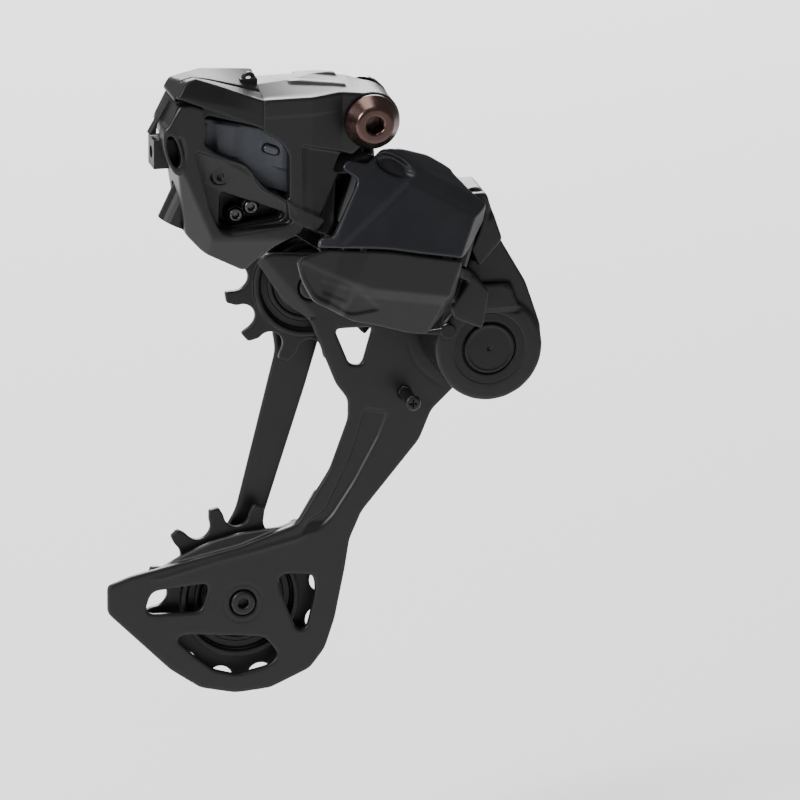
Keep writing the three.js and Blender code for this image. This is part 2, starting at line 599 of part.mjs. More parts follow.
function knuckleBody() {
  const cup = turned([
    [8, 2.6], [8, 0.9], [CAP_RADIUS + GAP, 0.9], [CAP_RADIUS + GAP, KNUCKLE_FRONT], [15.6, KNUCKLE_FRONT],
    [KNUCKLE_RADIUS, KNUCKLE_FRONT + 1], [KNUCKLE_RADIUS, KNUCKLE_BACK], [SPRING_ROOM, KNUCKLE_BACK],
    [SPRING_ROOM, 2.6],
  ]).translate(KNUCKLE_AXIS.x, 0, KNUCKLE_AXIS.z);
  const arm = slab([
    [30, -44], [42.8, -42.7], [52.3, -59.5], [57, -73.8], [56.5, -81.5], [45, -90], [27, -86], [24.5, -75],
    [28, -63],
  ], KNUCKLE_FRONT + 1, 14, 1.5);
  const pad = slab([[33, -59.5], [47, -59], [49.6, -67.2], [36.5, -67.2]], KNUCKLE_FRONT - 0.5, 2, 0.8);
  const upperWeb = slab([[31, -28.5], [38.5, -28.5], [43.5, -43.5], [36, -52], [31, -40]], -7.5, 11.5, 1);
  const lowerWeb = slab([[23.4, -49], [30.8, -50], [38, -58], [36, -70], [27, -66]], -13, 4, 1);
  const lugs = [
    atPivot(onPivot(KNUCKLE_LUG_RADIUS, -KNUCKLE_PIN_HALF, -LUG_NEAR), OUTER_PIN_KNUCKLE),
    atPivot(onPivot(KNUCKLE_LUG_RADIUS, LUG_NEAR, KNUCKLE_PIN_HALF), OUTER_PIN_KNUCKLE),
    atPivot(onPivot(KNUCKLE_LUG_RADIUS, -INNER_PIN_HALF, -INNER_LUG_NEAR), INNER_PIN_KNUCKLE),
    atPivot(onPivot(KNUCKLE_LUG_RADIUS, INNER_LUG_NEAR, INNER_PIN_HALF), INNER_PIN_KNUCKLE),
  ];
  return cut(
    join(cup, arm, pad, upperWeb, lowerWeb, ...lugs),
    disc(SPRING_ROOM, 2.6, 40, 32).translate(KNUCKLE_AXIS.x, 0, KNUCKLE_AXIS.z),
    disc(8, -30, 10, 32).translate(KNUCKLE_AXIS.x, 0, KNUCKLE_AXIS.z),
    disc(CAP_RADIUS + GAP, -30, 0.9, 32).translate(KNUCKLE_AXIS.x, 0, KNUCKLE_AXIS.z),
    atPivot(onPivot(PIN_RADIUS + 0.1, -30, 20, 16), OUTER_PIN_KNUCKLE),
    atPivot(onPivot(PIN_RADIUS + 0.1, -30, INNER_PIN_HALF + 0.5, 16), INNER_PIN_KNUCKLE),
    atPivot(webRoom(-1, 3, 4, ...OUTER_ROOM), OUTER_PIN_KNUCKLE),
    atPivot(webRoom(-1, 2.4, 2.4, ...INNER_ROOM), INNER_PIN_KNUCKLE),
    atPivot(coverRoom(3.8, COVER_BACK - 0.5, -18.4, 13), OUTER_PIN_KNUCKLE),
    atPivot(coverRoom(3.8, 1.6, 12.8, 20), OUTER_PIN_KNUCKLE),
    atPivot(coverRoom(3.8, -3.6, 19.8, 36), OUTER_PIN_KNUCKLE),
    disc(1.4, -8, 2.2, 12).translate(SWITCH.x, 0, SWITCH.z),
  );
}

const knuckleCap = () => turned([
  [0, KNUCKLE_FRONT - 0.4], [7.6, KNUCKLE_FRONT - 0.4], [7.9, KNUCKLE_FRONT + 0.7],
  [9.3, KNUCKLE_FRONT + 0.7], [9.6, KNUCKLE_FRONT], [CAP_RADIUS, KNUCKLE_FRONT], [CAP_RADIUS, 0.6],
  [7.7, 0.6], [7.7, 2.2], [0, 2.2],
]);

// A torsion spring: a wire wound about Y.
function torsionSpring(radius, wire, near, turns, pitch) {
  class Coil extends THREE.Curve {
    getPoint(t, target = new THREE.Vector3()) {
      const angle = t * turns * 2 * Math.PI;
      return target.set(radius * Math.cos(angle), near + pitch * turns * t, radius * Math.sin(angle));
    }
  }
  const section = new THREE.Shape();
  section.absarc(0, 0, wire, 0, 2 * Math.PI);
  return new THREE.ExtrudeGeometry(section, { extrudePath: new Coil(), steps: turns * 10, curveSegments: 2 });
}

function clutchBand() {
  return cut(ring(7.6, 9, 3.6, 8), slab([[8, -1.4], [12, -1.4], [12, 1.4], [6, 1.4]], 0, 12));
}

function clutchSwitch() {
  const stem = turned([[0, -5.6], [2.8, -5.6], [2.8, -3.3], [1.25, -3.3], [1.25, 1.9], [0, 1.9]], 16);
  return join(stem, slab([[0, 1.6], [-7.4, 0.9], [-7.4, -0.9], [0, -1.6]], -5.2, -3.5, 0.5));
}

const knuckle = new THREE.Group();
knuckle.position.set(KNUCKLE_AXIS.x, 0, KNUCKLE_AXIS.z);
derailleur.add(knuckle);
place('knuckle_body', knuckleBody(), 'blackAnodised');
place('knuckle_cap', knuckleCap(), 'blackPlastic', knuckle);
place('cage_spring', torsionSpring(10.9, 1.1, 9.8, 4, 2.1), 'steel', knuckle);
place('clutch_band', clutchBand(), 'steel', knuckle);
place('clutch_switch', clutchSwitch(), 'blackPlastic', derailleur, [SWITCH.x, 0, SWITCH.z]);

// ---- Cage ----

const PLATE_OUTLINE = [
  [-73.4, -164.1], [-73.4, -155.4], [-66.2, -152.8], [-31.8, -145.4], [-14, -139.5], [-7.4, -128.8],
  [-3.6, -122.7], [2.1, -107.1], [2.1, -100.7], [-1.6, -95.7], [-9.9, -74.6], [-18.3, -68.4],
  [-26.5, -54.8], [-22.5, -52.2], [-8, -53.4], [14, -62], [30, -64],
];
const PLATE_RIGHT_SIDE = [
  [52, -93], [45, -96.4], [37.1, -97.4], [28.3, -105.8], [24.5, -115], [6.4, -136.8], [2.6, -145.4],
  [1.1, -154.8], [-2.1, -170.6], [-5.2, -179.9], [-9.9, -186], [-22.4, -191.5], [-33.3, -192.4],
  [-44.3, -190], [-53.7, -183.6],
];
const STRUT_WINDOW = [[-2.1, -78], [9.8, -78], [6.4, -89.9], [2.6, -89.6]];
const SLOT_WINDOW = [[-61.6, -164], [-59.6, -158], [-41.4, -156.6], [-44, -165.5], [-59.9, -165.3]];
const CRESCENT_WINDOW = [
  [-52.1, -173.8], [-49.6, -172.4], [-24.3, -174.8], [-19.6, -180.9], [-22.7, -184.2], [-33, -186.4],
  [-40.2, -184.4], [-46.5, -179.3],
];
const SIDE_WINDOW = [
  [-20.2, -157.5], [-18.6, -155.1], [-8.6, -156], [-8.2, -161.6], [-11.1, -173.5], [-14.3, -173.3],
];
const STOP_PIN = { x: 19.8, z: -99.6 };
const BOLT_SHANK = 2.4;
const BOLT_HEAD = 3.8;

function plateOutline() {
  const round = [];
  for (let degrees = 100; degrees >= -40; degrees -= 20) {
    const angle = (degrees * Math.PI) / 180;
    round.push([KNUCKLE_AXIS.x + 16.4 * Math.cos(angle), KNUCKLE_AXIS.z + 16.4 * Math.sin(angle)]);
  }
  return [...PLATE_OUTLINE, ...round, ...PLATE_RIGHT_SIDE];
}

const atPulley = (geometry, pulley) => geometry.clone().translate(pulley.x, 0, pulley.z);

function outerPlate() {
  const [near, far] = OUTER_PLATE;
  const lip = slab([
    [-66, -153.4], [-31.8, -146], [-14, -140.1], [-7.6, -129.2], [-6.4, -129.9], [-13.2, -141.6],
    [-31.4, -147.6], [-65.8, -155],
  ], far - 0.1, far + 1.6);
  const boltHole = join(
    disc(BOLT_HEAD + 0.3, near - 1, near + 1.5, 20),
    disc(BOLT_SHANK + 0.15, near, far + 1, 20),
  );
  return cut(
    join(slab(plateOutline(), near, far, 1.2), lip),
    slab(STRUT_WINDOW, near - 1, far + 1, 1),
    slab(SLOT_WINDOW, near - 1, far + 3, 2),
    slab(CRESCENT_WINDOW, near - 1, far + 3, 1.5),
    slab(SIDE_WINDOW, near - 1, far + 3, 2),
    atPulley(boltHole, GUIDE),
    atPulley(boltHole, TENSION),
    disc(1.75, near - 1, far + 1, 16).translate(STOP_PIN.x, 0, STOP_PIN.z),
  );
}

function innerPlate() {
  const [near, far] = INNER_PLATE;
  const bar = slab([
    [-22, -62], [-17.9, -87.2], [-30.4, -137.3], [-45, -163], [-14, -172], [-22, -141.1], [-8.5, -99],
    [3, -60],
  ], near, far, 2);
  const hole = disc(BOLT_SHANK + 0.15, near - 1, far + 1, 20);
  return cut(
    join(bar, atPulley(disc(12.5, near, far), GUIDE), atPulley(disc(17, near, far), TENSION)),
    atPulley(hole, GUIDE),
    atPulley(hole, TENSION),
  );
}

// A chain wheel's outline: roller seats on the pitch circle, with a blunt tooth between each two.
function sprocketOutline(teeth) {
  const pitchRadius = CHAIN_PITCH / (2 * Math.sin(Math.PI / teeth));
  const tipRadius = pitchRadius + 3.1;
  const points = [];
  for (let i = 0; i < teeth; i += 1) {
    const middle = (i / teeth) * 2 * Math.PI;
    for (const seat of [-64, -24, 24, 64]) {
      const angle = middle + Math.PI - (seat * Math.PI) / 180;
      points.push([
        pitchRadius * Math.cos(middle) + ROLLER_SEAT * Math.cos(angle),
        pitchRadius * Math.sin(middle) + ROLLER_SEAT * Math.sin(angle),
      ]);
    }
    for (const side of [-1.1, 1.1]) {
      const angle = middle + Math.PI / teeth + side / tipRadius;
      points.push([tipRadius * Math.cos(angle), tipRadius * Math.sin(angle)]);
    }
  }
  return points;
}

// A pulley about its own middle: a toothed disc with a thicker ring and hub.
function pulley(teeth, ridgeRadius) {
  const body = turned([
    [PULLEY_BORE, -3.3], [7.2, -3.3], [7.6, -1.6], [ridgeRadius - 2, -1.6], [ridgeRadius - 1.6, -3],
    [ridgeRadius, -3], [ridgeRadius, 3], [ridgeRadius - 1.6, 3], [ridgeRadius - 2, 1.6], [7.6, 1.6],
    [7.2, 3.3], [PULLEY_BORE, 3.3],
  ]);
  const toothed = cut(slab(sprocketOutline(teeth), -1.1, 1.1), disc(PULLEY_BORE + 2, -2, 2));
  return join(toothed, body);
}

function pulleyBolt() {
  const [near] = OUTER_PLATE;
  const [, far] = INNER_PLATE;
  const shape = turned([
    [0, near - 0.6], [BOLT_HEAD - 0.5, near - 0.6], [BOLT_HEAD, near - 0.1], [BOLT_HEAD, near + 1.2],
    [BOLT_SHANK, near + 1.2], [BOLT_SHANK, far], [0, far],
  ], 20);
  return cut(shape, hexSocket(3, near - 2, near + 2));
}

const pulleyBush = () =>
  ring(BOLT_SHANK + 0.1, PULLEY_BORE - 0.1, OUTER_PLATE[1] + 0.2, INNER_PLATE[0] - 0.2, 20);

const pulleySeal = (near, far) => ring(PULLEY_BORE + 0.2, 6.6, near, far, 24);

function stopPin() {
  const [near, far] = OUTER_PLATE;
  const pin = turned([
    [0, near - 12], [2, near - 12], [2.4, near - 11.6], [2.4, near - 10.4], [2, near - 10], [2, near - 0.3],
    [1.5, near - 0.3], [1.5, far], [0, far],
  ], 16);
  const arm = (w, h) => slab([[-w, -h], [w, -h], [w, h], [-w, h]], near - 13, near - 11);
  return cut(pin, join(arm(1.3, 0.35), arm(0.35, 1.3)));
}

const cageAxle = () => turned([
  [0, 3], [4, 3], [4, 19.6], [12.6, 19.6], [12.6, OUTER_PLATE[0] - GAP], [0, OUTER_PLATE[0] - GAP],
]);

place('cage_axle', cageAxle(), 'steel', knuckle);
place('clutch_roller', ring(4.2, 7.2, 3.4, 8.4), 'steel', knuckle);
place('outer_cage_plate', outerPlate(), 'blackAnodised');
place('inner_cage_plate', innerPlate(), 'blackAnodised');
place('cage_stop_pin', stopPin(), 'steel', derailleur, [STOP_PIN.x, 0, STOP_PIN.z]);
for (const [side, wheel, ridge] of [['guide', GUIDE, 17], ['tension', TENSION, 18.4]]) {
  const group = new THREE.Group();
  group.position.set(wheel.x, 0, wheel.z);
  derailleur.add(group);
  place(`${side}_pulley_bolt`, pulleyBolt(), 'blackAnodised', group);
  place(`${side}_pulley_bush`, pulleyBush(), 'bronze', group);
  place(`${side}_outer_seal`, pulleySeal(OUTER_PLATE[1] + GAP, CHAIN_PLANE - 3.6), 'rubber', group);
  place(`${side}_inner_seal`, pulleySeal(CHAIN_PLANE + 3.6, INNER_PLATE[0] - GAP), 'rubber', group);
  place(`${side}_pulley`, pulley(wheel.teeth, ridge), 'blackPlastic', group, [0, CHAIN_PLANE, 0]);
}

export default derailleur;
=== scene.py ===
"""A rear derailleur's looks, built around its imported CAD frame.

Lengths are in millimetres, in the CAD's frame: X to the front of the bicycle, Y inboard to the wheel and
Z up. MM turns them into Blender's metres. A cast or moulded body is a distance field on a grid of voxels,
negative inside: most start from their CAD node's solid, and are then joined, cut and rounded.
"""
import json
import math

import bpy
import numpy as np
import openvdb
from mathutils import Matrix, Vector


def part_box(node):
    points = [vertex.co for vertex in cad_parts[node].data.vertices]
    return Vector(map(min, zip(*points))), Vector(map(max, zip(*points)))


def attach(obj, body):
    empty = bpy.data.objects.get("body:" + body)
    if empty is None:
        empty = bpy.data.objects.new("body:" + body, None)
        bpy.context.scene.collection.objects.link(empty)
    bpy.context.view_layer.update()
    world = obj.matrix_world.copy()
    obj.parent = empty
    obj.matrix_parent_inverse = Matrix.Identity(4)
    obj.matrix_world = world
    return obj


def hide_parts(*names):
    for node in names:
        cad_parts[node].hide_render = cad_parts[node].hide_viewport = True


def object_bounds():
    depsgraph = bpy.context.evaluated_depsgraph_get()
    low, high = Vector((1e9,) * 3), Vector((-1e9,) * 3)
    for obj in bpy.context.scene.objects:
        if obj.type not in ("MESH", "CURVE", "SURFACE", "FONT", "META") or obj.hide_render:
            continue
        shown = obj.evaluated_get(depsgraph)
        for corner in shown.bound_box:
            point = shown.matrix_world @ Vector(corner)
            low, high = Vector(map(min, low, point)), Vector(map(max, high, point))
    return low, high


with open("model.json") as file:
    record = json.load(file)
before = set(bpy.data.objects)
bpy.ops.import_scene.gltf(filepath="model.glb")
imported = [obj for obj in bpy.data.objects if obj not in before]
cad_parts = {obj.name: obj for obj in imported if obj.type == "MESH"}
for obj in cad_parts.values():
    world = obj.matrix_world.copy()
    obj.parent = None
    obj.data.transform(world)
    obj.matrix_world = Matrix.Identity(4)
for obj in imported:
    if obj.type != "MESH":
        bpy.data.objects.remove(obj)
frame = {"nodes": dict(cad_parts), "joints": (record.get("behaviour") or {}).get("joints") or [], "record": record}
cad_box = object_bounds()

MM = 0.001
COARSE = 1.0
VOXEL = 0.3 * COARSE
FINE_VOXEL = 0.14 * COARSE
BAND = 9  # voxels on each side of a surface in which distances are known


# ---- Places that the frame gives ----

JOINTS = {joint["name"]: joint for joint in frame["joints"]}


def joint_place(name):
    return Vector(JOINTS[name]["pos_m"]) / MM


def node_box(node):
    low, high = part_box(node)
    return Vector(low) / MM, Vector(high) / MM


def axes_at(origin, along, across, up):
    """The matrix of a set of axes, in millimetres."""
    turn = Matrix((along, across, up)).transposed()
    return Matrix.Translation(origin) @ turn.to_4x4()


OUTER_PIN = joint_place("parallelogram")
KNUCKLE_PIN = joint_place("knuckle_pivot")
CAGE_AXIS = joint_place("cage_pivot")
GUIDE = joint_place("guide_pulley_spin")
TENSION = joint_place("tension_pulley_spin")
PIVOT_WAY = Vector(JOINTS["parallelogram"]["axis"]).normalized()
LINK_WAY = (KNUCKLE_PIN - OUTER_PIN).normalized()
LINK_AXES = axes_at(OUTER_PIN, LINK_WAY, PIVOT_WAY.cross(LINK_WAY), PIVOT_WAY)
BASE_FRONT = node_box("base_body")[0].y
PLATE_FRONT = node_box("outer_cage_plate")[0].y
INNER_PLATE_BACK = node_box("inner_cage_plate")[1].y


# ---- Distance fields ----


def keep(a, b, blend=0.4):
    """What is in both a and b; their shared edge is rounded by about `blend`."""
    share = np.clip(0.5 + 0.5 * (a - b) / blend, 0, 1)
    return b + (a - b) * share + blend * share * (1 - share)


def join(a, b, blend=0.6):
    return -keep(-a, -b, blend)


def cut(a, b, blend=0.4):
    return keep(a, -b, blend)


def rounded(points, radius, steps=4):
    """The outline with each corner replaced by a short curve."""
    points = [np.array(p, float) for p in points]
    result = []
    for before, corner, after in zip(points[-1:] + points[:-1], points, points[1:] + points[:1]):
        ends = [corner + (p - corner) * min(0.45, radius / np.linalg.norm(p - corner)) for p in (before, after)]
        for t in np.linspace(0, 1, steps + 1):
            result.append((1 - t) ** 2 * ends[0] + 2 * t * (1 - t) * corner + t * t * ends[1])
    return result


def outline(points, x, z, radius=0.0):
    """Distance to a closed outline, negative inside."""
    corners = rounded(points, radius) if radius else [np.array(p, float) for p in points]
    nearest = np.float32(1e9)
    inside = np.zeros(np.broadcast(x, z).shape, bool)
    for a, b in zip(corners, corners[1:] + corners[:1]):
        edge = b - a
        dx, dz = x - a[0], z - a[1]
        along = np.clip((dx * edge[0] + dz * edge[1]) / (edge @ edge), 0, 1)
        nearest = np.minimum(nearest, (dx - along * edge[0]) ** 2 + (dz - along * edge[1]) ** 2)
        if edge[1]:
            inside ^= ((a[1] > z) != (b[1] > z)) & (dx < edge[0] * dz / edge[1])
    return np.where(inside, -1, 1) * np.sqrt(nearest)


def past_line(start, end, x, z):
    """How far a point lies to the left of the way from start to end."""
    way = np.array(end, float) - np.array(start, float)
    way /= np.linalg.norm(way)
    return (z - start[1]) * way[0] - (x - start[0]) * way[1]


def slab(flat, y, near, far, blend=0.4):
    """A flat outline's distances, drawn out along Y."""
    return keep(flat, np.maximum(near - y, y - far), blend)


def round_hole(x, z, centre, radius):
    return np.hypot(x - centre[0], z - centre[1]) - radius


def hexagon(x, z, across_flats):
    sides = [abs(x * math.cos(a) + z * math.sin(a)) for a in (0, math.pi / 3, 2 * math.pi / 3)]
    return np.maximum(np.maximum(sides[0], sides[1]), sides[2]) - across_flats / 2


def along_link(x, y, z):
    """A place's lengths along the link, outboard of it and down its pivot."""
    away = (x - OUTER_PIN.x, y - OUTER_PIN.y, z - OUTER_PIN.z)
    turn = LINK_AXES.to_3x3().transposed()
    return [sum(turn[i][k] * away[k] for k in range(3)) for i in range(3)]


def softened(field, passes=2, axes=(0, 1, 2)):
    """Rounds edges by a blur: about 0.7 voxels wide for one pass, and wider by the root of the passes."""
    for _ in range(passes):
        for axis in axes:
            field = (np.roll(field, 1, axis) + 2 * field + np.roll(field, -1, axis)) / 4
    return field


class Block:
    """The voxels round a body, in millimetres along the body's own axes."""

    def __init__(self, low, high, voxel=VOXEL, axes=None):
        self.voxel = voxel
        self.axes = axes or Matrix.Identity(4)
        self.first = [math.floor(v / voxel) - 3 for v in low]
        last = [math.ceil(v / voxel) + 3 for v in high]
        spans = [np.arange(a, b + 1, dtype=np.float32) * voxel for a, b in zip(self.first, last)]
        self.shape = [len(span) for span in spans]
        self.x, self.y, self.z = np.meshgrid(*spans, indexing="ij", sparse=True)

    @classmethod
    def round_node(cls, node, voxel=VOXEL, margin=0.0):
        low, high = node_box(node)
        room = Vector((margin,) * 3)
        return cls(low - room, high + room, voxel)

    def solid(self, node):
        """Distances to a CAD node's surface."""
        mesh = frame["nodes"][node].data
        mesh.calc_loop_triangles()
        points = np.empty(len(mesh.vertices) * 3, np.float32)
        mesh.vertices.foreach_get("co", points)
        corners = np.empty(len(mesh.loop_triangles) * 3, np.int32)
        mesh.loop_triangles.foreach_get("vertices", corners)
        to_axes = np.array(self.axes.inverted(), np.float32)
        points = points.reshape(-1, 3) / MM @ to_axes[:3, :3].T + to_axes[:3, 3]
        grid = openvdb.FloatGrid.createLevelSetFromPolygons(
            np.ascontiguousarray(points, np.float32),
            triangles=corners.reshape(-1, 3).astype(np.uint32),
            transform=openvdb.createLinearTransform(voxelSize=self.voxel),
            halfWidth=BAND,
        )
        field = np.empty(self.shape, np.float32)
        grid.copyToArray(field, ijk=tuple(self.first))
        return field

    def piece(self, name, field, body, slot, replaces=()):
        """The field's surface as a piece that rides on a body."""
        reach = 3 * self.voxel
        grid = openvdb.FloatGrid(reach)
        values = np.clip(np.broadcast_to(field, self.shape), -reach, reach).astype(np.float32)
        grid.copyFromArray(np.ascontiguousarray(values), ijk=tuple(self.first))
        grid.transform = openvdb.createLinearTransform(voxelSize=self.voxel)
        points, quads = grid.convertToQuads(0.0)
        mesh = bpy.data.meshes.new(name)
        mesh.from_pydata(points, [], quads[:, ::-1])
        mesh.transform(Matrix.Scale(MM, 4) @ self.axes)
        finish_piece(name, mesh, body, slot, replaces)


def finish_piece(name, mesh, body, slot, replaces=()):
    mesh.shade_smooth()
    piece = bpy.data.objects.new(name, mesh)
    bpy.context.scene.collection.objects.link(piece)
    mesh.materials.append(MATERIALS[slot])
    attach(piece, body)
    if replaces:
        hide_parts(*replaces)


# ---- Materials: grain, wear and gloss from nodes ----


def linear(red, green, blue):
    """A screen colour from 0 to 255, as Blender's linear colour."""
    values = [v / 255 for v in (red, green, blue)]
    return [v / 12.92 if v <= 0.04045 else ((v + 0.055) / 1.055) ** 2.4 for v in values] + [1.0]


def make_material(name, colour, roughness, metallic=0.0, specular=0.5, grain=2600, bump=0.35, wear=0.25,
                  blotch=0.12, brushed=False, speckle=0.0):
    """grain is the fine texture's scale per metre; wear lightens edges; blotch is the slow colour change."""
    made = bpy.data.materials.new(name)
    made.use_nodes = True
    nodes, links = made.node_tree.nodes, made.node_tree.links
    shader = nodes["Principled BSDF"]
    shader.inputs["Metallic"].default_value = metallic
    shader.inputs["Specular IOR Level"].default_value = specular
    place = nodes.new("ShaderNodeTexCoord").outputs["Object"]
    if brushed:
        stretch = nodes.new("ShaderNodeMapping")
        stretch.inputs["Scale"].default_value = (1.0, 0.08, 1.0)
        links.new(place, stretch.inputs["Vector"])
        place = stretch.outputs["Vector"]

    def noise(scale, detail):
        texture = nodes.new("ShaderNodeTexNoise")
        texture.inputs["Scale"].default_value = scale
        texture.inputs["Detail"].default_value = detail
        links.new(place, texture.inputs["Vector"])
        return texture.outputs["Fac"]

    def spread(source, low, high, start=0.3, end=0.7):
        ranged = nodes.new("ShaderNodeMapRange")
        ranged.inputs["From Min"].default_value = start
        ranged.inputs["From Max"].default_value = end
        ranged.inputs["To Min"].default_value = low
        ranged.inputs["To Max"].default_value = high
        links.new(source, ranged.inputs["Value"])
        return ranged.outputs["Result"]

    def mixed(factor, a, b):
        blend = nodes.new("ShaderNodeMix")
        blend.data_type = "RGBA"
        links.new(factor, blend.inputs["Factor"])
        for socket, value in zip((blend.inputs[6], blend.inputs[7]), (a, b)):
            if isinstance(value, list):
                socket.default_value = value
            else:
                links.new(value, socket)
        return blend.outputs[2]

    def shade(factor):
        return [min(1.0, v * factor) for v in colour[:3]] + [1.0]

    slow = noise(55, 4)
    fine = noise(grain, 3)
    surface = mixed(spread(slow, 0, 1), shade(1 - blotch), shade(1 + blotch))
    if speckle:
        flecks = spread(noise(grain * 0.45, 1), 0, speckle, 0.6, 0.72)
        surface = mixed(flecks, surface, shade(2.6))
    edges = nodes.new("ShaderNodeNewGeometry").outputs["Pointiness"]
    worn = spread(edges, 0, wear, 0.53, 0.62)
    surface = mixed(worn, surface, shade(2.2))
    links.new(surface, shader.inputs["Base Color"])
    rough = nodes.new("ShaderNodeMath")
    rough.operation = "ADD"
    links.new(spread(slow, roughness - 0.05, roughness + 0.05), rough.inputs[0])
    links.new(spread(fine, -0.04, 0.04), rough.inputs[1])
    links.new(rough.outputs["Value"], shader.inputs["Roughness"])
    relief = nodes.new("ShaderNodeBump")
    relief.inputs["Strength"].default_value = bump
    relief.inputs["Distance"].default_value = 0.00004
    links.new(fine, relief.inputs["Height"])
    links.new(relief.outputs["Normal"], shader.inputs["Normal"])
    return made


MATERIALS = {
    "black_anodised": make_material("black_anodised", linear(15, 15, 16), 0.4, specular=0.3, grain=3200),
    "black_plastic": make_material("black_plastic", linear(14, 14, 15), 0.44, specular=0.27, grain=2400,
                                   bump=0.5),
    "link_paint": make_material("link_paint", linear(25, 25, 29), 0.36, specular=0.36, grain=3600, bump=0.25),
    "grey_casting": make_material("grey_casting", linear(50, 52, 57), 0.42, metallic=0.1, specular=0.3,
                                  grain=5200, bump=0.6, speckle=0.16),
    "steel": make_material("steel", linear(74, 72, 70), 0.28, metallic=1.0, grain=4200, brushed=True),
    "copper_steel": make_material("copper_steel", linear(82, 65, 61), 0.28, metallic=1.0, grain=4200, bump=0.2),
    "bronze": make_material("bronze", linear(150, 115, 72), 0.35, metallic=1.0, grain=3000),
    "circuit_board": make_material("circuit_board", linear(24, 66, 42), 0.45, grain=1800),
    "rubber": make_material("rubber", linear(15, 15, 15), 0.7, specular=0.25, grain=1800, bump=0.6, wear=0.1),
    "lens": make_material("lens", linear(46, 48, 54), 0.25, specular=0.5, grain=2600, bump=0.15),
}
SLOTS = {part["node"]: part["material_slot"] for part in frame["record"]["subparts"]}


# ---- Base ----

BASE_BODY = "base"
BORE_RADIUS = 6.0
RING_ROOM = 0.4
COVER_EDGE, COVER_EDGE_ROOM = (3.0, -12.9, -14.1), 1.5  # where the upper cover's edge comes closest
BOSS = (-47.2, -14.1)
SEAM_X = [-62, -60, -51.6, -34.9, -28.9]
SEAM_Z = [11.6, 11.3, 7.7, 0.7, -4.2]
ARM_START, ARM_END = (-56.4, -2.3), (-26.9, -22.1)  # crest of the arm between the two windows
ARM_HOLLOW = [
    (-55.4, -5.0), (-47.7, -7.9), (-40.5, -10.4), (-38.1, -13.0), (-34.9, -18.2), (-26.6, -23.2), (-23.6, -27.2),
    (-26.4, -30.4), (-45.0, -31.4), (-48.6, -29.4), (-50.6, -24.5),
]
LOWER_WINDOW = [(-46.9, -19.3), (-27.2, -26.9), (-28, -29.4), (-44.7, -31.2), (-47.4, -29.6)]


def deck_height(x, y):
    """Height of the base's top, which rises to the back."""
    front = np.interp(x, [-62, -55, -34.5, -10.5, 3.1, 8], [15.5, 17.3, 9.6, 9.5, 8.0, 6.5])
    back = np.interp(x, [-62, -50, -36, -5, 5.4, 9], [13.0, 15.8, 15.0, 10.8, 7.2, 5.0])
    share = np.clip((y + 20) / 17, 0, 1)
    return front + (back - front) * share


